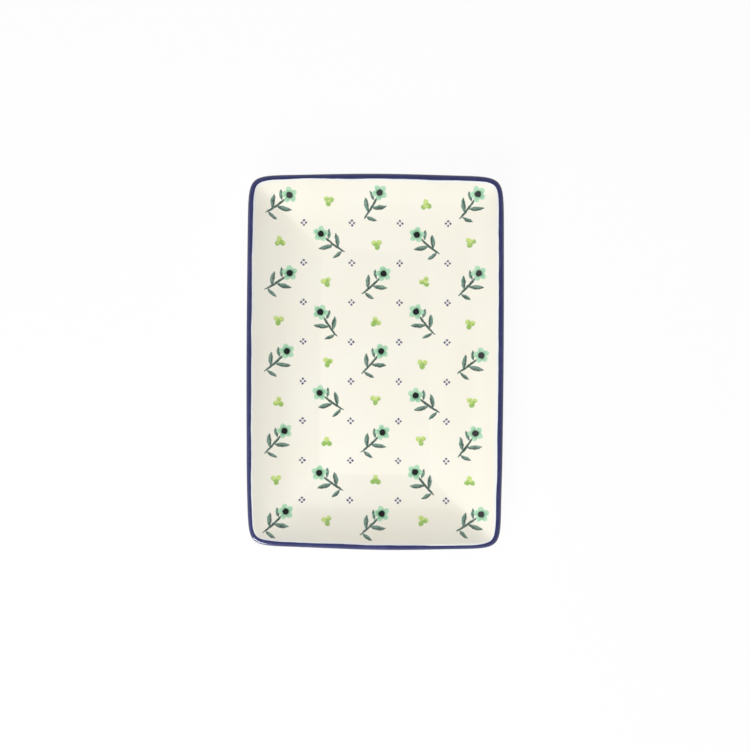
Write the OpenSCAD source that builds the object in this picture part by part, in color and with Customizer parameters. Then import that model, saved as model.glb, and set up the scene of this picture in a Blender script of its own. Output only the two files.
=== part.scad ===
// Shallow rectangular serving tray: a stoneware dish on a low foot ring, glazed cream
// inside and out, with a dark blue band around its rim.
// Millimetres, with +Z up and the long side along Y. The origin is on the table, under
// the middle of the foot ring.

/* [Tray] */
// Overall width, at the middle of the long sides
tray_w = 151; // [131:1:190]
// Overall length, at the middle of the short sides
tray_l = 220; // [180:1:280]
// Overall height, from the table to the crest of the rim
tray_h = 25; // [22:0.5:34]
// Plan width of the sloping wall, from the rim's outer edge to the flat floor
wall_run = 43; // [36:0.5:50]
// Plan radius of the corners at the rim
rim_corner_r = 12.5; // [8:0.5:20]
// Plan radius of the corners of the flat floor
floor_corner_r = 3; // [2:0.5:8]
// How far the middle of each side bows out beyond its ends
side_bow = 1.2; // [0:0.1:2]

/* [Wall section] */
// Slope of the wall where it leaves the flat floor, in degrees
floor_slope = 11; // [6:1:14]
// Length of the straighter stretch of wall beside the floor
floor_reach = 18; // [8:0.5:22]
// Slope of the wall at the rim, in degrees
lip_slope = 40; // [30:1:46]
// Length of the straighter stretch of wall below the rim
lip_reach = 19.5; // [12:0.5:22]

/* [Stoneware] */
// Thickness of the clay wall at the rim
wall_t = 3.8; // [3:0.1:5.5]
// Thickness of the clay under the floor
base_t = 4.8; // [3.6:0.1:6.5]

/* [Glaze] */
// Thickness of every glaze coat
glaze_t = 0.4; // [0.3:0.05:0.6]
// Bare clay left between a glaze edge and the foot ring
glaze_stop = 0.4; // [0.3:0.05:0.8]

/* [Rim band] */
// Width of the band seen from above, from the outer edge inwards
band_w = 2.8; // [1.6:0.1:3.2]
// How far the band comes down the outside, below the crest
band_drop = 3; // [1.6:0.1:3.4]

/* [Foot ring] */
// Height of the foot ring
foot_h = 2.6; // [1.5:0.1:4]
// Width of the ring's wall
foot_w = 4.5; // [3:0.1:6]
// Step from the edge of the flat underside in to the ring
foot_inset = 2.5; // [1:0.1:6]
// Plan radius of the ring's outer corners
foot_corner_r = 9; // [7:0.5:14]
// Chamfer on the two edges that meet the table
foot_toe = 0.6; // [0.3:0.1:1]

/* [Hidden] */
$fn = 48;

// How late, going up a mitre, it opens into the rim's wider corner
mitre_power = 3;

// Facets along a corner, a side, the wall's section and each stretch of the lip's section
corner_steps = 6;
side_steps = 6;
wall_steps = 9;
lip_steps = 3;
band_steps = 6;
outline_count = 4 * (corner_steps + side_steps);

// The rim is a round lip, and its centre line is where the wall's middle surface ends
lip_r = wall_t / 2 + glaze_t;
lip_z = tray_h - lip_r;
mid_z = foot_h + base_t / 2;
lip_out = wall_run - lip_r;
lip_plan = lip_r * (1 + sin(lip_slope));
wall_out = wall_run - lip_plan;

// How far the fold between the floor and the wall, on the glaze, lies inside the floor's edge
fold_in = (base_t / 2 + glaze_t) * tan(floor_slope / 2);

// Angles around the lip's section, from level outwards: where the inner wall meets the
// lip, where the band starts and ends, and where the outer wall meets the lip
lip_start = 90 + lip_slope;
band_start = acos(1 - band_w / lip_r);
band_end = asin(1 - band_drop / lip_r);
lip_end = lip_slope - 90;

// The flat underside, and the foot ring inside its edge
base_w = tray_w - 2 * wall_run;
base_l = tray_l - 2 * wall_run;
foot_out_w = base_w - 2 * foot_inset;
foot_out_l = base_l - 2 * foot_inset;
base_coat_step = 2 * (foot_w + glaze_stop);

clay = "#D9CCB4";
cream = "#FAF6E6";
blue = "#34376B";

// Middle surface of the wall as a Bezier curve of [outwards from the floor's edge, height]
wall_curve = [
  [0, mid_z],
  [floor_reach * cos(floor_slope), mid_z + floor_reach * sin(floor_slope)],
  [lip_out - lip_reach * cos(lip_slope), lip_z - lip_reach * sin(lip_slope)],
  [lip_out, lip_z]
];

function curve_at(s) =
  pow(1 - s, 3) * wall_curve[0] + 3 * s * pow(1 - s, 2) * wall_curve[1]
  + 3 * s * s * (1 - s) * wall_curve[2] + pow(s, 3) * wall_curve[3];

function curve_run(s) =
  pow(1 - s, 2) * (wall_curve[1] - wall_curve[0])
  + 2 * s * (1 - s) * (wall_curve[2] - wall_curve[1])
  + s * s * (wall_curve[3] - wall_curve[2]);

// Way from the middle surface to a face on the side of the food, per unit of thickness:
// square to it, and at the floor's edge along the line that halves the fold
function curve_normal(s) =
  let (run = curve_run(s))
  s == 0 ? [-tan(floor_slope / 2), 1] : [-run.y, run.x] / norm(run);

function half_wall(s) = (base_t + (wall_t - base_t) * s) / 2;

// Section points as [outwards, height], with coat as the glaze over the clay
function inner_wall(coat) = [
  for (i = [0:wall_steps])
    let (s = i / wall_steps)
    curve_at(s) + (half_wall(s) + coat) * curve_normal(s)
];

function outer_wall(coat) = [
  for (i = [0:wall_steps])
    let (s = 1 - i / wall_steps)
    curve_at(s) - (half_wall(s) + coat) * curve_normal(s)
];

function lip_arc(coat, from, to, steps) = [
  for (i = [0:steps])
    let (a = from + (to - from) * i / steps)
    wall_curve[3] + (wall_t / 2 + coat) * [cos(a), sin(a)]
];

function reversed(list) = [for (i = [len(list) - 1:-1:0]) list[i]];
function without_first(list) = [for (i = [1:len(list) - 1]) list[i]];
function without_last(list) = [for (i = [0:len(list) - 2]) list[i]];

// The three stretches that the coats share with the clay
function inside_stretch(coat) =
  concat(inner_wall(coat), without_first(lip_arc(coat, lip_start, band_start, lip_steps)));

function band_stretch(coat) = lip_arc(coat, band_start, band_end, band_steps);

function outside_stretch(coat) =
  concat(without_last(lip_arc(coat, band_end, lip_end, lip_steps)), outer_wall(coat));

// Plan outline of the tray at a distance outwards from the floor's edge. The corners
// are arcs, and each side is a shallow curve that leaves them smoothly. The lip is as
// wide around a corner as along a side, and just below it the corners tighten to crisp
// mitres that run down to the fold at the floor. Further in, under the tray, they keep
// even with the foot ring's corners.
function corner_r(out) =
  out > wall_out ? rim_corner_r - (wall_run - out)
  : out < -fold_in ? foot_corner_r + foot_inset + out
  : let (climb = max(0, out) / wall_out)
    floor_corner_r + (rim_corner_r - lip_plan - floor_corner_r) * pow(climb, mitre_power);

function bow(out) = side_bow * max(0, out / wall_run);

function outline(out) =
  let (
    r = corner_r(out),
    b = bow(out),
    half = [base_w / 2 + out, base_l / 2 + out],
    lean = [atan(2 * b / (half.y - r)), atan(2 * b / (half.x - r))],
    centre = [half.x - b - r * cos(lean.x), half.y - b - r * cos(lean.y)]
  )
  [
    for (q = [0:3])
      let (
        sign_here = [q == 0 || q == 3 ? 1 : -1, q < 2 ? 1 : -1],
        sign_next = [q == 2 || q == 3 ? 1 : -1, q == 0 || q == 3 ? 1 : -1],
        here = [sign_here.x * centre.x, sign_here.y * centre.y],
        next = [sign_next.x * centre.x, sign_next.y * centre.y],
        lean_a = q % 2 == 0 ? lean.x : lean.y,
        lean_b = q % 2 == 0 ? lean.y : lean.x,
        a0 = 90 * q + lean_a,
        a1 = 90 * (q + 1) - lean_b,
        side_a = here + r * [cos(a1), sin(a1)],
        turn = 90 * (q + 1) + lean_b,
        side_b = next + r * [cos(turn), sin(turn)],
        outwards = [cos(90 * (q + 1)), sin(90 * (q + 1))]
      )
      each concat(
        [for (i = [0:corner_steps])
          let (a = a0 + (a1 - a0) * i / corner_steps)
          here + r * [cos(a), sin(a)]],
        [for (i = [1:side_steps - 1])
          let (t = i / side_steps)
          side_a + t * (side_b - side_a) + 4 * b * t * (1 - t) * outwards]
      )
  ];

// Triangles between two rings of points. A quad takes its other diagonal when flipped,
// so that a coat's inner side has the same facets as the clay under it.
function ring_faces(k, next, flipped) = [
  for (i = [0:outline_count - 1])
    let (
      j = (i + 1) % outline_count,
      a = k * outline_count + i,
      b = k * outline_count + j,
      c = next * outline_count + j,
      d = next * outline_count + i
    )
    each flipped ? [[a, b, d], [b, c, d]] : [[a, b, c], [a, c, d]]
];

// Sweeps a section around the tray. The section runs outwards over the top and back
// underneath, where clay_from is its first point on the clay under a coat. A capped
// sweep closes the first and last ring with a flat floor, and another is a closed loop.
module sweep(section, clay_from, capped) {
  rings = len(section);
  last = rings - 1;
  centre = rings * outline_count;
  points = [
    for (p = section) each [for (q = outline(p.x)) [q.x, q.y, p.y]]
  ];
  middles = [[0, 0, section[0].y], [0, 0, section[last].y]];
  sides = [
    for (k = [0:capped ? last - 1 : last])
      each ring_faces(k, (k + 1) % rings, k >= clay_from)
  ];
  caps = [
    for (i = [0:outline_count - 1])
      let (
        j = (i + 1) % outline_count,
        base = last * outline_count
      )
      each [[j, i, centre], [base + i, base + j, centre + 1]]
  ];
  if (capped)
    polyhedron(points = concat(points, middles), faces = concat(sides, caps));
  else
    polyhedron(points = points, faces = sides);
}

module coat(top, clay_side, capped = false) {
  sweep(concat(top, reversed(clay_side)), len(top), capped);
}

// Sweeps the 2D children around a rounded rectangle, with X measured from the centres
// of its corners
module around(w, l, r) {
  for (q = [0:3]) {
    across = q % 2 == 0 ? w : l;
    along = q % 2 == 0 ? l : w;
    rotate([0, 0, 90 * q])
      translate([across / 2 - r, along / 2 - r, 0]) {
        rotate_extrude(angle = 90)
          children();
        rotate([90, 0, 0])
          linear_extrude(along - 2 * r)
            children();
      }
  }
}

module rounded_plate(w, l, r, h) {
  linear_extrude(h) {
    square([w - 2 * r, l], center = true);
    square([w, l - 2 * r], center = true);
    for (x = [-1, 1], y = [-1, 1])
      translate([x * (w / 2 - r), y * (l / 2 - r)])
        circle(r);
  }
}

// The clay dish: flat floor, sloping walls and round lip
module stoneware_body() {
  section = concat(
    without_last(inside_stretch(0)),
    without_last(band_stretch(0)),
    outside_stretch(0)
  );
  color(clay)
    sweep(section, len(section), true);
}

// The bare ring that the tray stands on
module foot_ring() {
  inner = foot_corner_r - foot_w;
  color(clay)
    around(foot_out_w, foot_out_l, foot_corner_r)
      polygon([
        [inner, foot_h],
        [inner, foot_toe],
        [inner + foot_toe, 0],
        [foot_corner_r - foot_toe, 0],
        [foot_corner_r, foot_toe],
        [foot_corner_r, foot_h]
      ]);
}

// The cream glaze over the floor and the inner walls, up to the band
module inside_glaze() {
  color(cream)
    coat(inside_stretch(glaze_t), inside_stretch(0), true);
}

// The blue glaze over the lip
module rim_band() {
  color(blue)
    coat(band_stretch(glaze_t), band_stretch(0));
}

// The cream glaze from the band down the outer walls and under to the foot ring
module outside_glaze() {
  under = glaze_stop - foot_inset;
  color(cream)
    coat(
      concat(outside_stretch(glaze_t), [[under, foot_h - glaze_t]]),
      concat(outside_stretch(0), [[under, foot_h]])
    );
}

// The cream glaze on the underside, inside the foot ring
module base_glaze() {
  color(cream)
    translate([0, 0, foot_h - glaze_t])
      rounded_plate(
        foot_out_w - base_coat_step,
        foot_out_l - base_coat_step,
        foot_corner_r - base_coat_step / 2,
        glaze_t
      );
}

stoneware_body();
foot_ring();
inside_glaze();
rim_band();
outside_glaze();
base_glaze();
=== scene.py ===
"""Shallow rectangular stoneware tray: clay dish, bare foot, cream glaze, printed inside, blue rim."""

import math

import bmesh
import bpy
from bpy.props import FloatProperty, FloatVectorProperty, IntProperty, PointerProperty
from mathutils import Color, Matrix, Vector


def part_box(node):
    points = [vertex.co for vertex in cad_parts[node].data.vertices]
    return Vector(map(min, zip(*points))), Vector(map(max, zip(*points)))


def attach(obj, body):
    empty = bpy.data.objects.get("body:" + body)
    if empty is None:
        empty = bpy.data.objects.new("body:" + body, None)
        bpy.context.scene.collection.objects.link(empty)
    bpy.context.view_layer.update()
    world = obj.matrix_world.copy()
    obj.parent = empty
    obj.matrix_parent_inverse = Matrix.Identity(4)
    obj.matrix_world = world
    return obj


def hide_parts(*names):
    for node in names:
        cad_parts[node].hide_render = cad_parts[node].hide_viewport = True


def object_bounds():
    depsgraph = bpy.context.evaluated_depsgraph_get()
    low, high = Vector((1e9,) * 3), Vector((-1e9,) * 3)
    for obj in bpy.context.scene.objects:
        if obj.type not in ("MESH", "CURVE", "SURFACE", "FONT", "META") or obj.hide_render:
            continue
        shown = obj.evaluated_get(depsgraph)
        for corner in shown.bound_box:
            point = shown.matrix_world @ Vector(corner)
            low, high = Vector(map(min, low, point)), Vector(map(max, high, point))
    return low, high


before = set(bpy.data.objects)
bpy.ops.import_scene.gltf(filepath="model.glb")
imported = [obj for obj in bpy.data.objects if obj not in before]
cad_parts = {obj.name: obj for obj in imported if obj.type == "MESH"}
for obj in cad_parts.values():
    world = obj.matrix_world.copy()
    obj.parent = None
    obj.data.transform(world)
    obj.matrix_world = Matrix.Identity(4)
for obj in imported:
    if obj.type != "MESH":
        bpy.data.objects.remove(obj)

bl_info = {
    "name": "Stoneware Serving Tray",
    "version": (1, 0, 0),
    "blender": (4, 5, 0),
    "location": "View3D > Sidebar > Tray",
    "description": "Models a glazed stoneware serving tray around its packed solids",
    "category": "Add Mesh",
}

CAD_LOW, CAD_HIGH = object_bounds()
RIM_LOW, RIM_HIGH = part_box("rim_band")
INSIDE_LOW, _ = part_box("inside_glaze")
FOOT_LOW, FOOT_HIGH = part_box("foot_ring")
BASE_LOW, BASE_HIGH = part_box("base_glaze")

MILLIMETRES = 1000
# Two places closer than this are the same
SAME_PLACE = 1e-6

# A ring of the dish has a point at each corner, one on each side of it and one in the middle
# of each side
FLOOR_FACES = 4
RING_POINTS = 4 * FLOOR_FACES
# Stretches of the section that become separate coats
INSIDE, BAND, OUTSIDE = range(3)


def length(description, default):
    """A size in metres."""
    return FloatProperty(description=description, default=default, unit="LENGTH", precision=5)


def number(description, default):
    """A plain number that isn't negative."""
    return FloatProperty(description=description, default=default, min=0)


def angle(description, degrees):
    """An angle, given in degrees."""
    return FloatProperty(description=description, default=math.radians(degrees), subtype="ANGLE")


def colour(description, *levels):
    """An opaque colour, given as the three levels from 0 to 255 that a screen shows."""
    tone = (*Color([level / 255 for level in levels]).from_srgb_to_scene_linear(), 1)
    return FloatVectorProperty(description=description, default=tone, size=4, min=0, max=1, subtype="COLOR")


class TraySizes(bpy.types.PropertyGroup):
    """Sizes of the dish, its coats and its foot."""

    width: length("Overall width at the middle of the long sides", RIM_HIGH.x - RIM_LOW.x)
    length: length("Overall length at the middle of the short sides", RIM_HIGH.y - RIM_LOW.y)
    height: length("From the table to the crest of the rim", RIM_HIGH.z)
    wall_run: length("Plan width of the sloping wall, rim included", 0.043)
    floor_slope: angle("Slope of the wall where it leaves the floor", 11)
    floor_reach: length("Length of the straighter stretch of wall beside the floor", 0.018)
    lip_slope: angle("Slope of the wall at the rim", 40)
    lip_reach: length("Length of the straighter stretch of wall below the rim", 0.0195)
    wall: length("Thickness of the clay at the rim", 0.0038)
    base: length("Thickness of the clay under the floor", INSIDE_LOW.z - FOOT_HIGH.z)
    glaze: length("Thickness of every coat", BASE_HIGH.z - BASE_LOW.z)
    side_bow: length("How far the middle of a long side stands beyond its ends", 0.0006)
    end_bow: length("How far the middle of a short side stands beyond its ends", 0.0012)
    rim_corner: length("Reach of the rounding at a corner of the rim", 0.0212)
    floor_corner: length("Reach of the rounding at a corner of the floor", 0.005)
    band_width: length("Width of the rim band from above", 0.00255)
    band_drop: length("How far the band comes down the outside", RIM_HIGH.z - RIM_LOW.z)
    foot_wall: length("Width of the foot ring's wall", 0.0045)
    foot_corner: length("Plan radius of the foot ring's outer corners", 0.009)
    foot_toe: length("Rounding of the edges that meet the table", 0.0006)


class TrayColours(bpy.types.PropertyGroup):
    """Colours of the glazes, the print and the clay."""

    cream: colour("Glaze over most of the dish", 248, 245, 233)
    cream_warm: colour("Glaze where it lies thicker", 247, 243, 229)
    blue: colour("Brushed rim band", 55, 58, 103)
    # The paler blue is partly where the brush left less and partly a painted reflection of the pale table
    # on the band's outer edge
    blue_thin_and_sheen: colour("Rim band where the brush left less", 84, 87, 132)
    bleed: colour("Tint of the cream glaze beside the band", 240, 243, 246)
    leaf_dark: colour("Shaded half of a leaf, and the stems", 34, 76, 66)
    leaf_light: colour("Lit half of a leaf", 94, 136, 120)
    petal: colour("Petals of a blossom", 176, 222, 188)
    petal_deep: colour("Petals near the eye", 118, 184, 142)
    eye: colour("Middle of a blossom", 38, 38, 40)
    lime: colour("Three-lobed dabs", 200, 222, 124)
    lime_deep: colour("Dabs where the colour pooled", 140, 186, 78)
    dot: colour("Small dots between the motifs", 66, 62, 116)
    clay: colour("Bare fired stoneware", 212, 199, 176)
    clay_dark: colour("Specks and worn patches of the clay", 158, 138, 112)


class PrintSizes(bpy.types.PropertyGroup):
    """Sizes of the printed motifs and of the grid that they stand on."""

    pitch_across: length("Distance between motifs across the tray", 0.0284)
    pitch_along: length("Distance between motifs along the tray", 0.0234)
    lean: angle("Turn of a sprig from the tray's width", 34)
    lean_spread: angle("How much the turn differs from sprig to sprig", 26)
    scatter: length("How far a motif stands off its place", 0.0022)
    softness: length("Width of a printed edge", 0.00022)
    tremble: length("How far a printed edge wavers", 0.0005)
    petals: IntProperty(description="Petals of a blossom", default=5, min=3, max=9)
    petal_length: length("Length of a petal", 0.0038)
    petal_width: length("Width of a petal", 0.0034)
    petal_place: length("From the blossom's middle to a petal's middle", 0.0027)
    eye_radius: length("Radius of a blossom's dark middle", 0.0019)
    dab_length: length("Length of one lobe of a dab", 0.0034)
    dab_width: length("Width of one lobe of a dab", 0.0030)
    dab_place: length("From a dab's middle to a lobe's middle", 0.0016)
    dot_radius: length("Radius of a small dot", 0.00068)
    dot_place: length("From a cluster's middle to a dot", 0.0013)


class StageSettings(bpy.types.PropertyGroup):
    """Camera and floor. The settings of the lamps are added below."""

    camera_height: length("From the table to the camera", 1.25)
    frame_width: length("Width of the picture at the rim's height", 0.4382)
    aim_across: length("Where the camera stands across the tray", 0.0001)
    aim_along: length("Where the camera stands along the tray", -0.0078)
    roll: angle("Turn of the camera about its axis", 0.43)
    room_light: number("Strength of the even light", 0.06)
    floor_glow: number("Share of the open floor that shows as plain white", 0.92)
    shade_glow: number("Share of the floor under the tray that shows as plain white", 0.55)


# What is set for a lamp, in the order of the numbers below
LAMP_PARTS = {
    "bearing": (angle, "Direction of the lamp in plan, from +X"),
    "elevation": (angle, "Height of the lamp above the table"),
    "distance": (length, "From the tray to the lamp"),
    "length": (length, "Longer side of the lamp's diffuser"),
    "width": (length, "Shorter side of the lamp's diffuser"),
    "power": (number, "Power of the lamp in watts"),
}
LAMPS = {
    "key_softbox": (244, 44, 1.0, 0.6, 0.6, 6.7),
    "top_softbox": (90, 80, 2.0, 1.7, 1.7, 26.0),
    "rim_strip": (238, 12, 0.6, 0.34, 0.14, 5.2),
}
# The lamp that only shows as a glint in the glaze
GLINT_LAMP = "rim_strip"

for lamp_name, lamp_values in LAMPS.items():
    for (part, (kind, description)), value in zip(LAMP_PARTS.items(), lamp_values):
        StageSettings.__annotations__[f"{lamp_name}_{part}"] = kind(description, value)


class Wiring:
    """Adds linked nodes to one node tree."""

    def __init__(self, tree):
        self.tree = tree

    def add(self, kind, inputs=(), **settings):
        """A new shader node, with its settings made first and its inputs linked or set after."""
        node = self.tree.nodes.new(f"ShaderNode{kind}")
        for name, value in settings.items():
            setattr(node, name, value)
        for name, value in dict(inputs).items():
            self.feed(node.inputs[name], value)
        return node

    def feed(self, socket, value):
        """Links an output to the socket, or sets a plain value on it."""
        if isinstance(value, bpy.types.NodeSocket):
            self.tree.links.new(value, socket)
        else:
            socket.default_value = value

    def feed_all(self, sockets, values):
        """Feeds one value to each socket in turn."""
        for socket, value in zip(sockets, values):
            self.feed(socket, value)

    def math(self, operation, *values):
        """Result of a Math node."""
        node = self.add("Math", operation=operation)
        self.feed_all(node.inputs, values)
        return node.outputs["Value"]

    def times(self, first, second):
        """Product of two values."""
        return self.math("MULTIPLY", first, second)

    def vector(self, operation, *values):
        """Result of a Vector Math node."""
        node = self.add("VectorMath", operation=operation)
        self.feed_all(node.inputs, values)
        return node.outputs["Value" if operation in ("LENGTH", "DISTANCE", "DOT_PRODUCT") else "Vector"]

    def scaled(self, vector, by):
        """A vector times a number."""
        inputs = {"Vector": vector, "Scale": by}
        return self.add("VectorMath", inputs, operation="SCALE").outputs["Vector"]

    def ramp(self, value, start, end, low=0.0, high=1.0):
        """Smooth step from low to high as the value goes from start to end."""
        inputs = {"Value": value, "From Min": start, "From Max": end, "To Min": low, "To Max": high}
        return self.add("MapRange", inputs, interpolation_type="SMOOTHSTEP").outputs["Result"]

    def blend(self, factor, first, second):
        """Mix of two colours, by those sockets of the Mix node that are for colours."""
        node = self.add("Mix", data_type="RGBA")
        self.feed_all([node.inputs[0], node.inputs[6], node.inputs[7]], (factor, first, second))
        return node.outputs[2]

    def noise(self, vector, scale, detail=2.0, output="Fac"):
        """Cloudy noise of the given number of waves per unit."""
        inputs = {"Vector": vector, "Scale": scale, "Detail": detail}
        return self.add("TexNoise", inputs).outputs[output]

    def parts(self, vector):
        """X, Y and Z of a vector."""
        return self.add("SeparateXYZ", {"Vector": vector}).outputs

    def join(self, x, y, z=0.0):
        """A vector from its parts."""
        return self.add("CombineXYZ", {"X": x, "Y": y, "Z": z}).outputs["Vector"]

    def turned(self, vector, by, centre=(0, 0, 0), invert=False):
        """A vector turned about the Z axis."""
        inputs = {"Vector": vector, "Center": centre, "Angle": by}
        node = self.add("VectorRotate", inputs, rotation_type="Z_AXIS", invert=invert)
        return node.outputs["Vector"]

    def group(self, name, **inputs):
        """Outputs of a placed node group, which is built when it is first used."""
        tree = bpy.data.node_groups.get(name) or GROUPS[name]()
        return self.add("Group", inputs, node_tree=tree).outputs


HALF = (0.5, 0.5, 0.5)
# Kinds of the groups' sockets, other than plain numbers
SOCKET_KINDS = {
    **dict.fromkeys(("Vector", "Root", "Pitch", "Shift", "Local", "Cell"), "NodeSocketVector"),
    **dict.fromkeys(("Blue", "Thin", "Color"), "NodeSocketColor"),
}


def new_group(name, inputs, outputs):
    """An empty node group: its wiring, the outputs of its input node and the inputs of its output node."""
    tree = bpy.data.node_groups.new(name, "ShaderNodeTree")
    for in_out, labels in (("INPUT", inputs), ("OUTPUT", outputs)):
        for label in labels:
            kind = SOCKET_KINDS.get(label, "NodeSocketFloat")
            tree.interface.new_socket(label, in_out=in_out, socket_type=kind)
    given, result = tree.nodes.new("NodeGroupInput"), tree.nodes.new("NodeGroupOutput")
    return Wiring(tree), given.outputs, result.inputs


def glaze_skin_group():
    """Slow waves and fine pitting of a fired glaze, its uneven depth and its uneven shine."""
    wave_scale, pit_scale, pit_share = 0.045, 0.7, 0.06
    depth_scale, shine_scale = 0.03, 0.12
    w, given, result = new_group("glaze_skin", ["Vector"], ["Height", "Depth", "Shine"])
    waves = w.noise(given["Vector"], wave_scale)
    pits = w.noise(given["Vector"], pit_scale, 3.0)
    w.feed(result["Height"], w.math("MULTIPLY_ADD", pits, pit_share, waves))
    w.feed(result["Depth"], w.ramp(w.noise(given["Vector"], depth_scale, 4.0), 0.3, 0.7))
    w.feed(result["Shine"], w.noise(given["Vector"], shine_scale, 3.0))
    return w.tree


def rim_edge_group():
    """Brushed edge of the band and the faint bleed beside it, from the distance to the band."""
    waver_scale, waver_reach, softness, bleed_reach = 0.04, 1.2, 0.12, 1.2
    w, given, result = new_group("rim_edge", ["Vector", "Distance"], ["Paint", "Tint"])
    waver = w.times(w.noise(given["Vector"], waver_scale), waver_reach)
    past_edge = w.math("SUBTRACT", given["Distance"], waver)
    w.feed(result["Paint"], w.ramp(past_edge, softness, 0.0))
    w.feed(result["Tint"], w.ramp(past_edge, bleed_reach, 0.0))
    return w.tree


def blue_wash_group():
    """Streaks of a brush that went around the rim, paler towards the outer edge, where the blue is brushed
    thinner and a reflection of the pale table is painted in.
    """
    streak_scale, pool_scale, outer_thinning_and_sheen = 0.5, 0.06, 0.45
    w, given, result = new_group("blue_wash", ["Vector", "Across", "Blue", "Thin"], ["Color"])
    streaks = w.noise(given["Vector"], streak_scale, 3.0)
    pools = w.noise(given["Vector"], pool_scale)
    worn = w.math("MULTIPLY_ADD", w.math("ADD", streaks, pools), 0.5, -0.5)
    # Paler towards the outer edge: partly thinner blue, partly a painted reflection of the pale table
    thinning_and_sheen = w.math("MULTIPLY_ADD", w.ramp(given["Across"], 0.3, 1.0), outer_thinning_and_sheen, worn)
    w.feed(result["Color"], w.blend(w.ramp(thinning_and_sheen, -0.1, 0.6), given["Blue"], given["Thin"]))
    return w.tree


def print_cell_group():
    """Splits a plane into cells: the place inside the cell, and the cell's column and row."""
    w, given, result = new_group("print_cell", ["Vector", "Pitch", "Shift"], ["Local", "Cell"])
    plan = w.vector("MULTIPLY", given["Vector"], (1.0, 1.0, 0.0))
    steps = w.vector("ADD", w.vector("DIVIDE", plan, given["Pitch"]), given["Shift"])
    cell = w.vector("FLOOR", w.vector("ADD", steps, HALF))
    w.feed(result["Cell"], cell)
    w.feed(result["Local"], w.vector("MULTIPLY", w.vector("SUBTRACT", steps, cell), given["Pitch"]))
    return w.tree


def brush_stroke_group():
    """One curved stroke that is widest in its middle and pointed at both ends."""
    thinnest = 0.01
    inputs = ["Vector", "Root", "Angle", "Length", "Width", "Bend", "Fullness", "Softness"]
    w, given, result = new_group("brush_stroke", inputs, ["Mask", "Across"])
    turned = w.turned(given["Vector"], given["Angle"], given["Root"], invert=True)
    local = w.parts(w.vector("SUBTRACT", turned, given["Root"]))
    along = w.math("DIVIDE", local["X"], given["Length"])
    spine = w.times(w.times(along, along), given["Bend"])
    offset = w.math("SUBTRACT", local["Y"], spine)
    belly = w.times(w.math("SUBTRACT", 1.0, along), along)
    belly = w.math("MAXIMUM", w.times(belly, 4.0), 0.0)
    half_width = w.times(w.math("POWER", belly, given["Fullness"]), given["Width"])
    half_width = w.times(half_width, 0.5)
    inside = w.math("SUBTRACT", half_width, w.math("ABSOLUTE", offset))
    w.feed(result["Mask"], w.ramp(inside, 0.0, given["Softness"]))
    w.feed(result["Across"], w.math("DIVIDE", offset, w.math("MAXIMUM", half_width, thinnest)))
    return w.tree


def lobe_ring_group():
    """Equal oval lobes around a middle point."""
    inputs = ["Vector", "Count", "Place", "Length", "Width", "Softness"]
    w, given, result = new_group("lobe_ring", inputs, ["Mask", "Radius"])
    place = w.parts(given["Vector"])
    radius = w.vector("LENGTH", w.join(place["X"], place["Y"]))
    turns = w.times(w.math("ARCTAN2", place["Y"], place["X"]), 1 / math.tau)
    lobe = w.times(turns, given["Count"])
    folded = w.math("SUBTRACT", lobe, w.math("ROUND", lobe))
    bearing = w.times(w.math("DIVIDE", folded, given["Count"]), math.tau)
    outwards = w.times(radius, w.math("COSINE", bearing))
    sideways = w.times(radius, w.math("SINE", bearing))
    reach = w.math("DIVIDE", w.math("SUBTRACT", outwards, given["Place"]), given["Length"])
    spread = w.math("DIVIDE", sideways, given["Width"])
    oval = w.times(w.vector("LENGTH", w.join(reach, spread)), 2.0)
    edge = w.math("DIVIDE", w.times(given["Softness"], 2.0), given["Width"])
    w.feed(result["Mask"], w.ramp(oval, w.math("ADD", edge, 1.0), w.math("SUBTRACT", 1.0, edge)))
    w.feed(result["Radius"], radius)
    return w.tree


GROUPS = {
    "glaze_skin": glaze_skin_group,
    "rim_edge": rim_edge_group,
    "blue_wash": blue_wash_group,
    "print_cell": print_cell_group,
    "brush_stroke": brush_stroke_group,
    "lobe_ring": lobe_ring_group,
}


def in_millimetres(w):
    """Place on the piece in millimetres."""
    return w.scaled(w.add("TexCoord").outputs["Object"], MILLIMETRES)


def new_material(name):
    """An empty material: itself, its wiring and its Principled shader."""
    material = bpy.data.materials.new(name)
    material.use_nodes = True
    tree = material.node_tree
    return material, Wiring(tree), tree.nodes["Principled BSDF"]


# Motifs across and along the tray
PRINT_COLUMNS, PRINT_ROWS = 5, 9
# Leaves of a sprig in millimetres: root, turn in degrees, length, width and bend
SPRIG_LEAVES = [
    ((-6.2, -1.2), 64, 9.0, 3.1, -1.1),
    ((-3.2, -0.6), -46, 9.6, 3.1, 1.2),
    ((-9.0, -1.6), -74, 7.4, 2.6, 1.0),
    ((1.0, 0.9), 76, 6.6, 2.4, -0.8),
]
SPRIG_STEM = ((-11.0, -1.8), 6, 17.0, 1.8, 1.8)
BLOSSOM_PLACE = (6.4, 2.0, 0.0)
LEAF_FULLNESS, STEM_FULLNESS = 0.85, 0.3
DAB_LOBES, CLUSTER_DOTS = 3, 4


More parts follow.
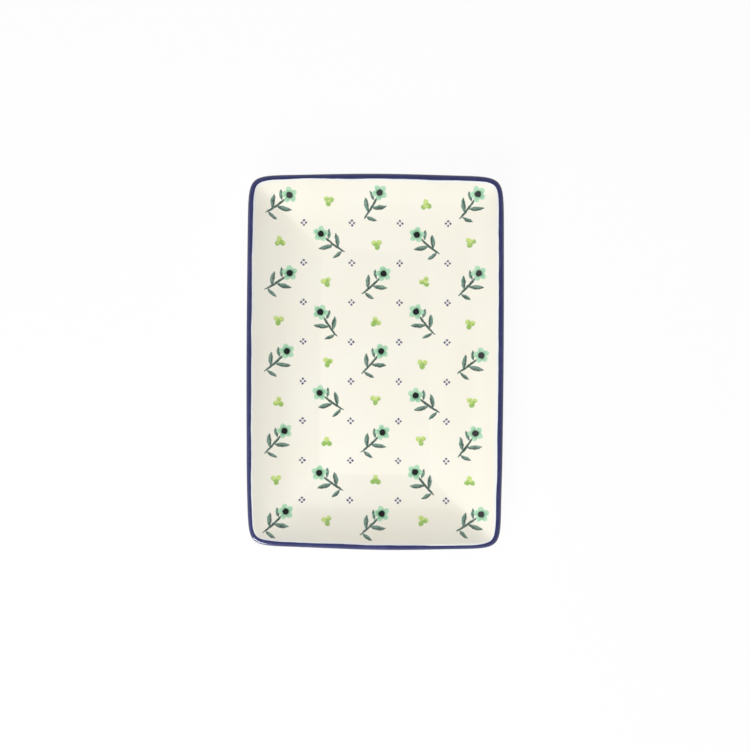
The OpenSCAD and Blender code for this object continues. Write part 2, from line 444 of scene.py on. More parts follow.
def sprig_print(w, place, glaze, colours, sizes):
    """The glaze colour with sprigs and three-lobed dabs in turn on a grid, and dots between them."""
    shake_scale, pigment_scale, wash_scale = 0.45, 1.1, 0.32
    faintest, leaf_wash, petal_wash = 0.84, 0.5, 1.2

    def mm(size):
        return size * MILLIMETRES

    def in_print(cells, spare):
        column, row, _ = w.parts(cells)
        across = w.math("COMPARE", column, 0.0, PRINT_COLUMNS / 2 - spare)
        return w.times(across, w.math("COMPARE", row, 0.0, PRINT_ROWS / 2 - spare))

    soft = mm(sizes.softness)
    shake = w.vector("SUBTRACT", w.noise(place, shake_scale, output="Color"), HALF)
    place = w.vector("ADD", place, w.scaled(shake, 2 * mm(sizes.tremble)))
    pigment = w.ramp(w.noise(place, pigment_scale, 3.0), 0.25, 0.75)
    wash = w.ramp(w.noise(place, wash_scale), 0.35, 0.65)
    strength = w.math("MULTIPLY_ADD", pigment, 1 - faintest, faintest)

    pitch = (mm(sizes.pitch_across), mm(sizes.pitch_along), 1.0)
    cell = w.group("print_cell", Vector=place, Pitch=pitch, Shift=(0.0, 0.0, 0.0))
    chance = w.add("TexWhiteNoise", {"Vector": cell["Cell"]}, noise_dimensions="3D").outputs
    column, row, _ = w.parts(cell["Cell"])
    odd_cell = w.math("FLOORED_MODULO", w.math("ADD", column, row), 2.0)
    on_tray = in_print(cell["Cell"], 0)
    dab_cell = w.times(odd_cell, on_tray)
    sprig_cell = w.math("SUBTRACT", on_tray, dab_cell)
    scatter = w.vector("SUBTRACT", chance["Color"], HALF)
    local = w.vector("ADD", cell["Local"], w.scaled(scatter, mm(sizes.scatter)))

    facing = w.math("MULTIPLY_ADD", w.math("FLOORED_MODULO", column, 2.0), -2.0, 1.0)
    facing = w.vector("MULTIPLY", local, w.join(facing, 1.0))
    spread = w.math("SUBTRACT", chance["Value"], 0.5)
    lean = w.math("MULTIPLY_ADD", spread, sizes.lean_spread, sizes.lean)
    sprig = w.turned(facing, lean, invert=True)

    def stroke(root, degrees, length_mm, width_mm, bend, fullness):
        return w.group(
            "brush_stroke", Vector=sprig, Root=(*root, 0.0), Angle=math.radians(degrees),
            Length=length_mm, Width=width_mm, Bend=bend, Fullness=fullness, Softness=2 * soft,
        )

    def lobes(middle, count, from_middle, long, wide):
        return w.group(
            "lobe_ring", Vector=middle, Count=float(count), Place=mm(from_middle),
            Length=mm(long), Width=mm(wide), Softness=soft,
        )

    def paint(below, tone, mask, cells):
        return w.blend(w.times(w.times(mask, cells), strength), below, tone)

    stem = stroke(*SPRIG_STEM, STEM_FULLNESS)
    result = paint(glaze, colours.leaf_dark, stem["Mask"], sprig_cell)
    for leaf in SPRIG_LEAVES:
        form = stroke(*leaf, LEAF_FULLNESS)
        lit_side = w.math("MULTIPLY_ADD", wash, leaf_wash, form["Across"])
        tone = w.blend(w.ramp(lit_side, 0.0, 0.55), colours.leaf_dark, colours.leaf_light)
        result = paint(result, tone, form["Mask"], sprig_cell)

    blossom = w.vector("SUBTRACT", sprig, BLOSSOM_PLACE)
    petals = lobes(blossom, sizes.petals, sizes.petal_place, sizes.petal_length, sizes.petal_width)
    paleness = w.math("MULTIPLY_ADD", wash, petal_wash, petals["Radius"])
    eye, outer = mm(sizes.eye_radius), mm(sizes.petal_place + sizes.petal_length / 2)
    tone = w.blend(w.ramp(paleness, eye, outer), colours.petal_deep, colours.petal)
    result = paint(result, tone, petals["Mask"], sprig_cell)
    mask = w.times(w.ramp(petals["Radius"], eye + soft, eye - soft), sprig_cell)
    result = w.blend(mask, result, colours.eye)

    dab_turn = w.times(chance["Value"], math.tau)
    dab = lobes(w.turned(local, dab_turn), DAB_LOBES, sizes.dab_place, sizes.dab_length, sizes.dab_width)
    run_down = w.math("MULTIPLY_ADD", wash, -mm(sizes.dab_length), w.parts(local)["Y"])
    tone = w.blend(w.ramp(run_down, 0.0, -mm(sizes.dab_length)), colours.lime, colours.lime_deep)
    result = paint(result, tone, dab["Mask"], dab_cell)

    half_cell = (0.5, 0.5, 0.0)
    corner = w.group("print_cell", Vector=place, Pitch=pitch, Shift=half_cell)
    between = in_print(w.vector("SUBTRACT", corner["Cell"], half_cell), 0.5)
    dot_width = 2 * sizes.dot_radius
    dots = lobes(corner["Local"], CLUSTER_DOTS, sizes.dot_place, dot_width, dot_width)
    return paint(result, colours.dot, dots["Mask"], between)


# Distance from the band's inner edge along the section, kept on the points of the coats
RIM_RUN = "rim_run"
# How much wider the band is brushed towards one corner, per unit across and along
EDGE_LEAN = (0.0025, 0.001, 0.0)
# Where the brush was pressed or lifted, in millimetres: across, along, reach and how much
# wider the band is there
BRUSH_MARKS = [
    (48, -109, 34, -0.75),
    (-42, 109, 18, -0.65),
    (-74, 91, 30, 0.42),
    (-74, -81, 34, -0.35),
    (75, 93, 18, -0.4),
    (-64, -107, 12, 0.62),
    (72, -99, 11, 0.38),
]
# Lowest and highest roughness of the coats, the band, the glaze under the tray and the clay
COAT_GLOSS, BAND_GLOSS, BASE_GLOSS, CLAY_GLOSS = (0.10, 0.18), (0.10, 0.20), (0.12, 0.22), (0.78, 0.95)
GLAZE_IOR, GLAZE_RELIEF, CLAY_RELIEF = 1.5, 0.00009, 0.00012


def add_relief(w, shader, height, depth):
    """Fine relief of a surface."""
    bump = w.add("Bump", {"Height": height, "Distance": depth})
    w.feed(shader.inputs["Normal"], bump.outputs["Normal"])


def glaze_material(name, gloss):
    """A fired glaze without its colour: the material, its wiring, its colour socket, place and depth."""
    material, w, shader = new_material(name)
    place = in_millimetres(w)
    skin = w.group("glaze_skin", Vector=place)
    shader.inputs["IOR"].default_value = GLAZE_IOR
    w.feed(shader.inputs["Roughness"], w.ramp(skin["Shine"], 0.3, 0.7, *gloss))
    add_relief(w, shader, skin["Height"], GLAZE_RELIEF)
    return material, w, shader.inputs["Base Color"], place, skin["Depth"]


def rim_run(w):
    """Distance along the section from the band's inner edge, in millimetres."""
    run = w.add("Attribute", attribute_name=RIM_RUN).outputs["Fac"]
    return w.times(run, MILLIMETRES)


def brushed_wider(w, place):
    """How much wider than its even width the band is brushed on the inside, in millimetres."""
    wider = w.vector("DOT_PRODUCT", place, EDGE_LEAN)
    for across, along, reach, change in BRUSH_MARKS:
        away = w.vector("DISTANCE", place, (across, along, RIM_HIGH.z * MILLIMETRES))
        wider = w.math("ADD", wider, w.ramp(away, reach, 0.0, 0.0, change))
    return wider


def brushed_blue(w, colours, place, across):
    """Colour of the brushed band, by the share of its width from the inner edge. It grows paler outwards,
    partly as thinner blue and partly as a painted reflection of the pale table.
    """
    wash = w.group("blue_wash", Vector=place, Across=across, Blue=colours.blue, Thin=colours.blue_thin_and_sheen)
    return wash["Color"]


def cream_material(name, band_length, outside):
    """Cream glaze with the band's brushed edge on it and, on the inside, the print."""
    colours = bpy.context.scene.tray_colours
    material, w, base_colour, place, depth = glaze_material(name, COAT_GLOSS)
    tone = w.blend(depth, colours.cream, colours.cream_warm)
    if outside:
        distance = w.math("SUBTRACT", rim_run(w), band_length * MILLIMETRES)
    else:
        tone = sprig_print(w, place, tone, colours, bpy.context.scene.print_sizes)
        distance = w.times(w.math("ADD", rim_run(w), brushed_wider(w, place)), -1.0)
    edge = w.group("rim_edge", Vector=place, Distance=distance)
    tone = w.blend(edge["Tint"], tone, colours.bleed)
    # The outside coat's band edge takes the palest blue, which holds the painted reflection of the pale
    # table
    blue = brushed_blue(w, colours, place, float(outside))
    w.feed(base_colour, w.blend(edge["Paint"], tone, blue))
    return material


def band_material(name, band_length):
    """Dark blue under the clear glaze of the rim."""
    colours = bpy.context.scene.tray_colours
    material, w, base_colour, place, _ = glaze_material(name, BAND_GLOSS)
    across = w.math("DIVIDE", rim_run(w), band_length * MILLIMETRES)
    w.feed(base_colour, brushed_blue(w, colours, place, across))
    return material


def base_cream_material(name):
    """Plain cream glaze under the tray."""
    colours = bpy.context.scene.tray_colours
    material, w, base_colour, _, depth = glaze_material(name, BASE_GLOSS)
    w.feed(base_colour, w.blend(depth, colours.cream, colours.cream_warm))
    return material


def bare_clay_material():
    """Unglazed stoneware, sandy, speckled and rough: built once, for the dish and its foot."""
    name = "bare_stoneware"
    patch_scale, speck_scale, sand_scale = 0.08, 1.6, 2.4
    patch_strength, speck_strength = 0.45, 0.7
    if name in bpy.data.materials:
        return bpy.data.materials[name]
    colours = bpy.context.scene.tray_colours
    material, w, shader = new_material(name)
    place = in_millimetres(w)
    patches = w.ramp(w.noise(place, patch_scale, 4.0), 0.35, 0.75)
    specks = w.ramp(w.noise(place, speck_scale), 0.66, 0.74)
    tone = w.blend(w.times(patches, patch_strength), colours.clay, colours.clay_dark)
    tone = w.blend(w.times(specks, speck_strength), tone, colours.clay_dark)
    w.feed(shader.inputs["Base Color"], tone)
    sand = w.noise(place, sand_scale, 4.0)
    w.feed(shader.inputs["Roughness"], w.ramp(sand, 0.3, 0.7, *CLAY_GLOSS))
    add_relief(w, shader, sand, CLAY_RELIEF)
    return material


def only(piece):
    """Makes one object the active one and the only one selected."""
    bpy.ops.object.select_all(action="DESELECT")
    piece.select_set(True)
    bpy.context.view_layer.objects.active = piece


def pick(piece, test):
    """Selects, in edit mode, the points that pass the test and what lies between them."""
    bpy.ops.mesh.select_mode(type="VERT")
    bpy.ops.mesh.select_all(action="DESELECT")
    cage = bmesh.from_edit_mesh(piece.data)
    for point in cage.verts:
        if test(point):
            point.select_set(True)
    cage.select_flush(True)
    bmesh.update_edit_mesh(piece.data)


def finish_with(piece, kind, name, **settings):
    """Adds a modifier and applies it."""
    only(piece)
    modifier = piece.modifiers.new(name, kind)
    for setting, value in settings.items():
        setattr(modifier, setting, value)
    bpy.ops.object.modifier_apply(modifier=modifier.name)


def smooth(piece, degrees):
    """Smooth shading, with edges sharper than the angle left sharp."""
    only(piece)
    bpy.ops.object.shade_smooth_by_angle(angle=math.radians(degrees))


def hand_over(piece, name, material, node):
    """Names a finished piece, gives it its one material and puts it in its CAD node's place."""
    piece.name = name
    piece.data.name = name
    piece.data.materials.clear()
    piece.data.materials.append(material)
    for face in piece.data.polygons:
        face.material_index = 0
    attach(piece, "root")
    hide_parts(node)


def wall_curve(sizes):
    """Middle of the clay wall, as the four points of a Bezier curve of (outwards, height)."""
    lip = sizes.wall / 2 + sizes.glaze
    end = Vector((sizes.wall_run - lip, sizes.height - lip))
    start = Vector((0, FOOT_HIGH.z + sizes.base / 2))
    ahead = Vector((math.cos(sizes.floor_slope), math.sin(sizes.floor_slope))) * sizes.floor_reach
    back = Vector((math.cos(sizes.lip_slope), math.sin(sizes.lip_slope))) * sizes.lip_reach
    return [start, start + ahead, end - back, end]


def curve_at(curve, s):
    """Point and upward normal of the wall's middle, from the floor's edge at 0 to the lip at 1."""
    a, b, c, d = curve
    t = 1 - s
    point = a * t**3 + b * 3 * s * t**2 + c * 3 * s**2 * t + d * s**3
    run = (b - a) * t**2 + (c - b) * 2 * s * t + (d - c) * s**2
    return point, Vector((-run.y, run.x)).normalized()


def wall_point(sizes, s, coat, side):
    """Point of the wall's surface, on the inside (side 1) or on the outside (side -1)."""
    point, normal = curve_at(wall_curve(sizes), s)
    if s == 0:
        # The faces of the floor and of the wall meet on the line that halves the fold
        normal = Vector((-math.tan(sizes.floor_slope / 2), 1))
    half = (sizes.base + (sizes.wall - sizes.base) * s) / 2
    return point + normal * side * (half + coat)


def lip_point(sizes, turn, coat):
    """Point of the round lip at an angle from level outwards."""
    return wall_curve(sizes)[3] + Vector((math.cos(turn), math.sin(turn))) * (sizes.wall / 2 + coat)


# Places of the rings up the wall, and how many rings go round each stretch of the lip
WALL_STATIONS = (0.0, 0.03, 0.08, 0.16, 0.28, 0.42, 0.56, 0.72, 0.88)
INNER_LIP_RINGS, BAND_RINGS, OUTER_LIP_RINGS = 3, 6, 3


def dish_section(sizes, coat):
    """Rings of the dish from the floor's edge over the rim to the underside: (outwards, height, zone)."""
    lip = sizes.wall / 2 + sizes.glaze
    lip_start = math.pi / 2 + sizes.lip_slope
    band_start = math.acos(1 - sizes.band_width / lip)
    band_end = math.asin(1 - sizes.band_drop / lip)
    lip_end = sizes.lip_slope - math.pi / 2
    rings = [(*wall_point(sizes, s, coat, 1), INSIDE) for s in WALL_STATIONS]
    stretches = [
        (lip_start, band_start, INNER_LIP_RINGS, INSIDE),
        (band_start, band_end, BAND_RINGS, BAND),
        (band_end, lip_end, OUTER_LIP_RINGS, OUTSIDE),
    ]
    rings.append((*lip_point(sizes, lip_start, coat), INSIDE))
    for start, end, count, zone in stretches:
        for i in range(count):
            rings.append((*lip_point(sizes, start + (end - start) * (i + 1) / count, coat), zone))
    rings += [(*wall_point(sizes, s, coat, -1), OUTSIDE) for s in reversed(WALL_STATIONS)]
    return rings


# How late, going up a mitre between two walls, it opens into the rim's wider corner
MITRE_TIGHTNESS = 3
# No fold lies further inside the floor's edge than this
FOLD_REACH = 0.001


def corner_reach(sizes, out):
    """Reach of the rounding at the corners of a ring: even with the foot's inside the fold at the
    floor, tight up the mitres and even over the lip."""
    # A smoothed corner of this reach is cut off as far as a round of radius 1
    even_offset = 6 * (1 - math.sqrt(0.5))
    if out < -FOLD_REACH:
        past_foot = sizes.width / 2 - sizes.wall_run + out - FOOT_HIGH.x
        return even_offset * (sizes.foot_corner + past_foot)
    lip = sizes.wall / 2 + sizes.glaze
    wall_end = sizes.wall_run - lip * (1 + math.sin(sizes.lip_slope))
    over_lip = sizes.rim_corner - even_offset * (sizes.wall_run - max(out, wall_end))
    climb = min(1.0, max(0.0, out) / wall_end)
    return sizes.floor_corner + (over_lip - sizes.floor_corner) * climb**MITRE_TIGHTNESS


def ring_bow(sizes, out):
    """How far the middles of a ring's long and short sides stand out: not at all at the floor."""
    climb = max(0.0, out / sizes.wall_run)
    return sizes.side_bow * climb, sizes.end_bow * climb


def ring_size(sizes, out):
    """Half width and half length of a ring at the ends of its sides."""
    run = out - sizes.wall_run
    halves = (sizes.width / 2 + run, sizes.length / 2 + run)
    return [half - bow for half, bow in zip(halves, ring_bow(sizes, out))]


def stretch(across, along):
    """Stretches what is selected from the tray's middle."""
    bpy.ops.transform.resize(value=(across, along, 1), center_override=(0, 0, 0))


def slide_to(piece, axis, place, test):
    """Slides the points that pass the test along an axis, to one distance on both sides of the middle."""
    pick(piece, test)
    cage = bmesh.from_edit_mesh(piece.data)
    now = max(abs(point.co[axis]) for point in cage.verts if point.select)
    scale = [1.0, 1.0]
    scale[axis] = place / now
    stretch(*scale)


# Share of a side's middle point that the smoothed side follows
BOW_FOLLOW = 2 / 3
# Shares of a ring's half width within which a point is in the middle, and beyond which at the edge
MIDDLE_SHARE, EDGE_SHARE = 0.01, 0.999


def shape_ring(piece, sizes, out, belongs):
    """Slides a ring's points beside each corner to their reach from it and bows its sides."""
    half, bow, reach = ring_size(sizes, out), ring_bow(sizes, out), corner_reach(sizes, out)
    for axis in (0, 1):
        def beside_corner(point):
            return belongs(point) and MIDDLE_SHARE < abs(point.co[axis]) / half[axis] < EDGE_SHARE

        def mid_side(point):
            return belongs(point) and abs(point.co[1 - axis]) < SAME_PLACE

        slide_to(piece, axis, half[axis] - reach, beside_corner)
        slide_to(piece, axis, half[axis] + bow[axis] / BOW_FOLLOW, mid_side)


# How far inside the floor's edge the flat grid ends
FLOOR_MARGIN = 0.003


def raise_dish(sizes, section):
    """Cage of the dish: a floor grid whose edge is extruded ring by ring along the section."""
    start_out, start_height = -FLOOR_MARGIN, section[0][1]
    half = ring_size(sizes, start_out)
    bpy.ops.mesh.primitive_grid_add(
        x_subdivisions=FLOOR_FACES, y_subdivisions=FLOOR_FACES, size=2, enter_editmode=True
    )
    dish = bpy.context.active_object
    bpy.ops.transform.translate(value=(0, 0, start_height))
    stretch(*half)
    shape_ring(dish, sizes, start_out, lambda point: True)
    pick(dish, lambda point: any(abs(point.co[axis]) > EDGE_SHARE * half[axis] for axis in (0, 1)))
    height = start_height
    for out, new_height, zone in section:
        new_half = ring_size(sizes, out)
        bpy.ops.mesh.extrude_region_move(TRANSFORM_OT_translate={"value": (0, 0, new_height - height)})
        stretch(*(new / old for new, old in zip(new_half, half)))
        half, height = new_half, new_height
        cage = bmesh.from_edit_mesh(dish.data)
        cage.verts.index_update()
        cage.faces.ensure_lookup_table()
        for face in cage.faces[-RING_POINTS:]:
            face.material_index = zone
        first = len(cage.verts) - RING_POINTS
        shape_ring(dish, sizes, out, lambda point: point.index >= first)
        pick(dish, lambda point: point.index >= first)
    return dish


# How far each corner of the hand-set rim stands off its place, across and along
CORNER_DRIFT = {
    (-1, -1): (0.0014, 0.0011),
    (1, -1): (-0.0005, -0.0012),
    (-1, 1): (-0.0007, -0.0005),
    (1, 1): (0.0002, 0.0009),
}
# Where a thumb moved the rim: place across and along, reach, and the move across and along
THUMB_MARKS = [
    ((-0.074, -0.097), 0.032, (0.0005, 0.0)),
    ((0.0745, -0.084), 0.026, (-0.0003, 0.0)),
    ((0.012, -0.110), 0.050, (0.0, -0.00026)),
]


def press_rim(piece, sizes):
    """Moves short stretches of the rim, less and less away from them and down the wall."""
    for point in piece.data.vertices:
        for place, reach, move in THUMB_MARKS:
            near = max(0.0, 1 - (point.co.xy - Vector(place)).length / reach)
            ease = near * near * (3 - 2 * near) * point.co.z / sizes.height
            point.co.xy = point.co.xy + Vector(move) * ease


def set_by_hand(piece, sizes):
    """Moves the corners of the rim a little off a true rectangle and leaves the underside as it is."""
    bpy.ops.object.add(type="LATTICE", location=(0, 0, sizes.height / 2))
    cage = bpy.context.active_object
    cage.scale = (sizes.width, sizes.length, sizes.height)
    for point in cage.data.points:
        across, along, up = (round(2 * place) for place in point.co)
        if up > 0:
            drift_x, drift_y = CORNER_DRIFT[across, along]
            point.co_deform += Vector((drift_x / sizes.width, drift_y / sizes.length, 0))
    finish_with(piece, "LATTICE", "Set by hand", object=cage)
    bpy.data.objects.remove(cage)
    press_rim(piece, sizes)


def keep_rim_run(piece, section, start):
    """Keeps on every point its distance along the section from the band's inner edge."""
    places = [Vector((-FLOOR_MARGIN, section[0][1]))] + [Vector(ring[:2]) for ring in section]
    runs = [0.0]
    for before, after in zip(places, places[1:]):
        runs.append(runs[-1] + (after - before).length)
    floor_points = (FLOOR_FACES + 1) ** 2
    values = [runs[0] - runs[start]] * floor_points
    for run in runs[1:]:
        values += [run - runs[start]] * RING_POINTS
    layer = piece.data.attributes.new(RIM_RUN, "FLOAT", "POINT")
    layer.data.foreach_set("value", values)
    return runs


def band_rings(section):
    """Indexes of the band's first and last ring, counting the floor's edge as ring 0."""
    zones = [ring[2] for ring in section]
    first = zones.index(BAND)
    return first, first + zones.count(BAND)


# Share of the bake square that the sheet's face takes, and the scale of its back
FACE_SHARE, BACK_SCALE, EDGE_STRIP = 0.68, 0.46, 0.02
# Height of the steep lip under the band, and how much wider it spreads the bake layout
STEEP_LIP, LIP_SPREAD = 0.0014, 0.1


def lay_out_for_baking(piece, sheet_faces, spread):
    """One flat layout for baking: the sheet in plan, its back smaller beside it and its edge in a
    strip. The spread opens out the steep top of the sheet."""
    layer = piece.data.uv_layers.new(name="OFBake")
    piece.data.uv_layers.active = layer
    top = max(point.co.z for point in piece.data.vertices)
    plan = []
    for point in piece.data.vertices:
        up_lip = max(0.0, 1 - (top - point.co.z) / STEEP_LIP)
        plan.append(point.co.xy * (1 + spread * up_lip))
    (left, right), (near, far) = ((min(places), max(places)) for places in zip(*plan))
    edges = len(piece.data.polygons) - 2 * sheet_faces
    for face in piece.data.polygons:
        for corner in face.loop_indices:
            place = plan[piece.data.loops[corner].vertex_index]
            u = (place.x - left) / (right - left)
            v = (place.y - near) / (far - near)
            if face.index < sheet_faces:
                spot = (u * (FACE_SHARE - EDGE_STRIP), v)
            elif face.index < 2 * sheet_faces:
                spot = (FACE_SHARE + u * (1 - FACE_SHARE - 2 * EDGE_STRIP), v * BACK_SCALE)
            else:
                step = corner - face.loop_start
                row = (face.index - 2 * sheet_faces + (step in (1, 2))) / edges
                spot = (1 - EDGE_STRIP + 0.5 * EDGE_STRIP * (step in (2, 3)), row)
            layer.data[corner].uv = spot


CLAY_LEVELS, GLAZE_LEVELS = 2, 3
# Degrees from which an edge stays sharp, on most pieces and on the coats over the dish
SHARP_EDGE, SHARP_COAT_EDGE = 40, 50


class TRAY_OT_clay_dish(bpy.types.Operator):
    """Model the fired clay dish under the glaze"""

    bl_idname = "tray.clay_dish"
    bl_label = "Clay Dish"

    def execute(self, context):
        sizes = context.scene.tray_sizes
        section = dish_section(sizes, 0.0)
        section.append((-FLOOR_MARGIN, section[-1][1], OUTSIDE))
        dish = raise_dish(sizes, section)
        bpy.ops.mesh.edge_face_add()
        bpy.ops.object.mode_set(mode="OBJECT")
        finish_with(dish, "SUBSURF", "Smooth clay", levels=CLAY_LEVELS, render_levels=CLAY_LEVELS)
        set_by_hand(dish, sizes)
        smooth(dish, SHARP_EDGE)
        hand_over(dish, "clay_dish", bare_clay_material(), "stoneware_body")
        return {"FINISHED"}


class TRAY_OT_glaze_coats(bpy.types.Operator):
    """Model the inside glaze, the rim band and the outside glaze as one sheet and part them"""

    bl_idname = "tray.glaze_coats"
    bl_label = "Glaze Coats"

    def execute(self, context):
        sizes = context.scene.tray_sizes
        section = dish_section(sizes, sizes.glaze)
        under = FOOT_HIGH.z - sizes.glaze
        section.append((FOOT_HIGH.x + sizes.glaze + sizes.wall_run - sizes.width / 2, under, OUTSIDE))
        sheet = raise_dish(sizes, section)
        bpy.ops.object.mode_set(mode="OBJECT")
        first, last = band_rings(section)
        runs = keep_rim_run(sheet, section, first)
        band_length = runs[last] - runs[first]
        coats = [
            ("inside_glaze_coat", cream_material("cream_glaze_printed", band_length, False),
             "inside_glaze", "cream_glaze"),
            ("rim_band_coat", band_material("blue_glaze_brushed", band_length),
             "rim_band", "blue_glaze"),
            ("outside_glaze_coat", cream_material("cream_glaze_plain", band_length, True),
             "outside_glaze", "cream_glaze"),
        ]
        for _, material, _, _ in coats:
            sheet.data.materials.append(material)
        finish_with(sheet, "SUBSURF", "Smooth glaze", levels=GLAZE_LEVELS, render_levels=GLAZE_LEVELS)
        set_by_hand(sheet, sizes)
        only(sheet)
        bpy.ops.object.mode_set(mode="EDIT")
        bpy.ops.mesh.separate(type="MATERIAL")
        bpy.ops.object.mode_set(mode="OBJECT")
        parted = {piece.active_material: piece for piece in context.selected_objects}
        for zone, (name, material, node, slot) in enumerate(coats):
            piece = parted[material]
            sheet_faces = len(piece.data.polygons)
            finish_with(
                piece, "SOLIDIFY", "Coat", thickness=sizes.glaze, offset=-1,
                use_even_offset=True, use_quality_normals=True,
            )
            smooth(piece, SHARP_COAT_EDGE)
            hand_over(piece, name, material, node)
            if zone == INSIDE:
                lay_out_for_baking(piece, sheet_faces, 0.0)
            if zone == OUTSIDE:
                lay_out_for_baking(piece, sheet_faces, LIP_SPREAD)
        return {"FINISHED"}


CORNER_SEGMENTS, EDGE_SEGMENTS = 10, 3
# Rounding of the base coat's edge, as a share of its thickness
COAT_EDGE = 0.6


def rounded_plate(half, radius, height):
    """A flat plate with round corners, all selected in edit mode."""
    bpy.ops.mesh.primitive_plane_add(size=2, enter_editmode=True)
    plate = bpy.context.active_object
    stretch(*half)
    bpy.ops.transform.translate(value=(0, 0, height))
    bpy.ops.mesh.bevel(offset=radius, segments=CORNER_SEGMENTS, affect="VERTICES")
    bpy.ops.mesh.select_all(action="SELECT")
    return plate


def thicken_plate(plate, low, high, edge):
    """Raises a flat plate from low to high and rounds its lower edges."""
    bpy.ops.mesh.select_all(action="SELECT")
    bpy.ops.mesh.extrude_region_move(TRANSFORM_OT_translate={"value": (0, 0, high - low)})
    bpy.ops.mesh.select_all(action="SELECT")
    bpy.ops.mesh.normals_make_consistent(inside=False)
    pick(plate, lambda point: abs(point.co.z - low) < SAME_PLACE)
    bpy.ops.mesh.region_to_loop()
    bpy.ops.mesh.bevel(offset=edge, segments=EDGE_SEGMENTS)
    bpy.ops.object.mode_set(mode="OBJECT")
    smooth(plate, SHARP_EDGE)


class TRAY_OT_bare_foot(bpy.types.Operator):
    """Model the unglazed foot ring that stands on the table"""

    bl_idname = "tray.bare_foot"
    bl_label = "Bare Foot"

    def execute(self, context):
        sizes = context.scene.tray_sizes
        foot = rounded_plate((FOOT_HIGH.x, FOOT_HIGH.y), sizes.foot_corner, FOOT_LOW.z)
        bpy.ops.mesh.inset(thickness=sizes.foot_wall, use_even_offset=True)
        bpy.ops.mesh.delete(type="FACE")
        thicken_plate(foot, FOOT_LOW.z, FOOT_HIGH.z, sizes.foot_toe)
        hand_over(foot, "bare_foot", bare_clay_material(), "foot_ring")
        return {"FINISHED"}


class TRAY_OT_base_glaze(bpy.types.Operator):
    """Model the thin coat of glaze inside the foot ring"""

    bl_idname = "tray.base_glaze"
    bl_label = "Base Glaze"

    def execute(self, context):
        sizes = context.scene.tray_sizes
        corner = sizes.foot_corner - sizes.foot_wall
        coat = rounded_plate((BASE_HIGH.x, BASE_HIGH.y), corner, BASE_LOW.z)
        thicken_plate(coat, BASE_LOW.z, BASE_LOW.z + sizes.glaze, sizes.glaze * COAT_EDGE)
        material = base_cream_material("cream_glaze_base")
        hand_over(coat, "base_glaze_coat", material, "base_glaze")
        return {"FINISHED"}


FLOOR_RADIUS, WALL_HEIGHT, ROUND_SIDES = 3.0, 2.4, 96
GROUND_TONE, GROUND_ROUGHNESS = 0.92, 0.9
# Just under the foot, so that the two don't share a plane
FLOOR_DROP = 0.0001
# Width inside the tray's outline over which its shade on the floor sets in
SHADE_REACH = 0.02


def white_ground_material(settings):
    """White floor that shows as paper to the camera and in the glaze, and keeps the tray's shadow."""
    material, w, shader = new_material("white_ground")
    shader.inputs["Base Color"].default_value = (GROUND_TONE, GROUND_TONE, GROUND_TONE, 1)
    shader.inputs["Roughness"].default_value = GROUND_ROUGHNESS
    path = w.add("LightPath").outputs
    seen = w.math("MAXIMUM", path["Is Camera Ray"], path["Is Glossy Ray"])
    seen = w.math("MAXIMUM", seen, path["Is Transmission Ray"])
    paper = w.add("Emission", {"Color": (1, 1, 1, 1), "Strength": 1.0})
    x, y, _ = w.parts(w.add("TexCoord").outputs["Object"])
    past_side = w.math("SUBTRACT", w.math("ABSOLUTE", x), CAD_HIGH.x)
    past_end = w.math("SUBTRACT", w.math("ABSOLUTE", y), CAD_HIGH.y)
    past_tray = w.math("MAXIMUM", past_side, past_end)
    glow = w.ramp(past_tray, -SHADE_REACH, 0.0, settings.shade_glow, settings.floor_glow)
    surfaces = {1: shader.outputs["BSDF"], 2: paper.outputs["Emission"]}
    mixed = w.add("MixShader", {0: w.times(seen, glow), **surfaces})
    w.feed(w.tree.nodes["Material Output"].inputs["Surface"], mixed.outputs["Shader"])
    return material


def add_lamp(settings, name):
    """An area lamp aimed at the tray. One only shows as a glint in the glaze; the others only light it."""
    bearing, elevation, distance, long_side, short_side, watts = (
        getattr(settings, f"{name}_{part}") for part in LAMP_PARTS
    )
    flat = math.cos(elevation)
    away = Vector((flat * math.cos(bearing), flat * math.sin(bearing), math.sin(elevation))) * distance
    place = Vector((0, 0, RIM_HIGH.z / 2)) + away
    turn = (-away).to_track_quat("-Z", "Y").to_euler()
    bpy.ops.object.light_add(type="AREA", location=place, rotation=turn)
    lamp = bpy.context.active_object
    lamp.name = name
    lamp.data.energy = watts
    lamp.data.shape = "RECTANGLE"
    lamp.data.size = long_side
    lamp.data.size_y = short_side
    lamp.visible_glossy = name == GLINT_LAMP
    lamp.visible_diffuse = name != GLINT_LAMP


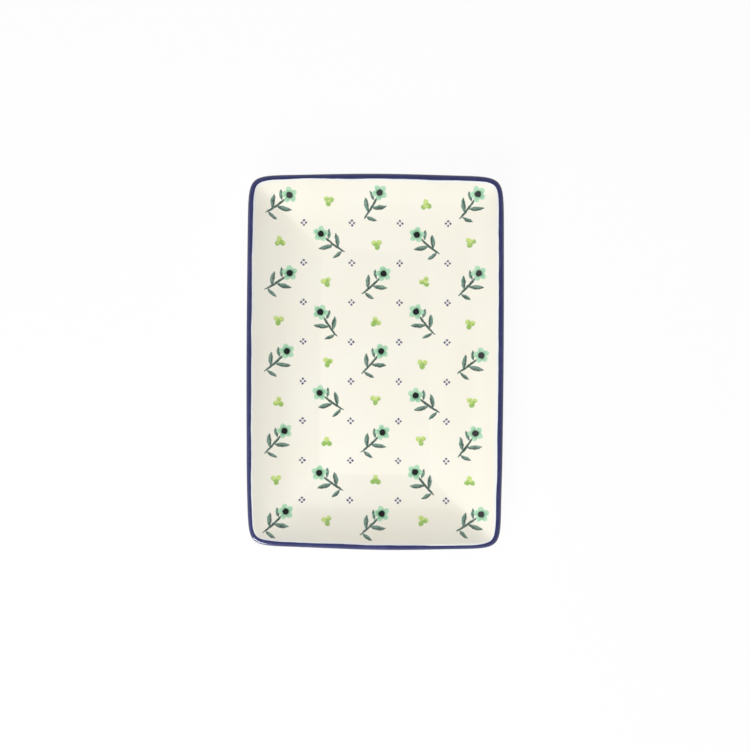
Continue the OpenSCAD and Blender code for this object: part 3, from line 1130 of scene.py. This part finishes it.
class TRAY_OT_stage(bpy.types.Operator):
    """Set the white floor and backdrop, the lamps and the camera above the tray"""

    bl_idname = "tray.stage"
    bl_label = "Stage"

    def execute(self, context):
        settings = context.scene.tray_stage
        ground = white_ground_material(settings)
        bpy.ops.mesh.primitive_circle_add(
            vertices=ROUND_SIDES, radius=FLOOR_RADIUS, fill_type="NGON", location=(0, 0, -FLOOR_DROP)
        )
        floor = context.active_object
        floor.name = "studio_floor"
        bpy.ops.mesh.primitive_cylinder_add(
            vertices=ROUND_SIDES, radius=FLOOR_RADIUS, depth=WALL_HEIGHT, end_fill_type="NOTHING",
            location=(0, 0, WALL_HEIGHT / 2),
        )
        wall = context.active_object
        wall.name = "studio_wall"
        wall.visible_diffuse = False
        wall.visible_shadow = False
        for piece in (floor, wall):
            piece.data.materials.append(ground)

        world = context.scene.world or bpy.data.worlds.new("room")
        context.scene.world = world
        world.use_nodes = True
        sky = world.node_tree.nodes["Background"]
        sky.inputs["Color"].default_value = (1, 1, 1, 1)
        sky.inputs["Strength"].default_value = settings.room_light

        for name in LAMPS:
            add_lamp(settings, name)

        place = (settings.aim_across, settings.aim_along, settings.camera_height)
        bpy.ops.object.camera_add(location=place, rotation=(0, 0, settings.roll))
        camera = context.active_object
        camera.name = "overhead_camera"
        distance = settings.camera_height - RIM_HIGH.z
        camera.data.lens = camera.data.sensor_width * distance / settings.frame_width
        context.scene.camera = camera
        context.scene.view_settings.view_transform = "Standard"
        return {"FINISHED"}


class TRAY_PT_sidebar(bpy.types.Panel):
    """Sizes, colours and steps of the tray"""

    bl_idname = "TRAY_PT_sidebar"
    bl_label = "Serving Tray"
    bl_space_type = "VIEW_3D"
    bl_region_type = "UI"
    bl_category = "Tray"

    def draw(self, context):
        for step in STEPS:
            self.layout.operator(step.bl_idname)
        for settings in (getattr(context.scene, name) for name in SETTINGS):
            column = self.layout.column()
            for name in settings.__annotations__:
                column.prop(settings, name, text=name.replace("_", " ").capitalize())


SETTINGS = {
    "tray_sizes": TraySizes,
    "tray_colours": TrayColours,
    "print_sizes": PrintSizes,
    "tray_stage": StageSettings,
}
STEPS = (TRAY_OT_clay_dish, TRAY_OT_glaze_coats, TRAY_OT_bare_foot, TRAY_OT_base_glaze, TRAY_OT_stage)
CLASSES = (*SETTINGS.values(), *STEPS, TRAY_PT_sidebar)


def register():
    for kind in CLASSES:
        bpy.utils.register_class(kind)
    for name, kind in SETTINGS.items():
        setattr(bpy.types.Scene, name, PointerProperty(type=kind))


def unregister():
    for name in SETTINGS:
        delattr(bpy.types.Scene, name)
    for kind in reversed(CLASSES):
        bpy.utils.unregister_class(kind)


def main():
    register()
    bpy.ops.tray.clay_dish()
    bpy.ops.tray.glaze_coats()
    bpy.ops.tray.bare_foot()
    bpy.ops.tray.base_glaze()
    bpy.ops.tray.stage()


if __name__ == "__main__":
    main()
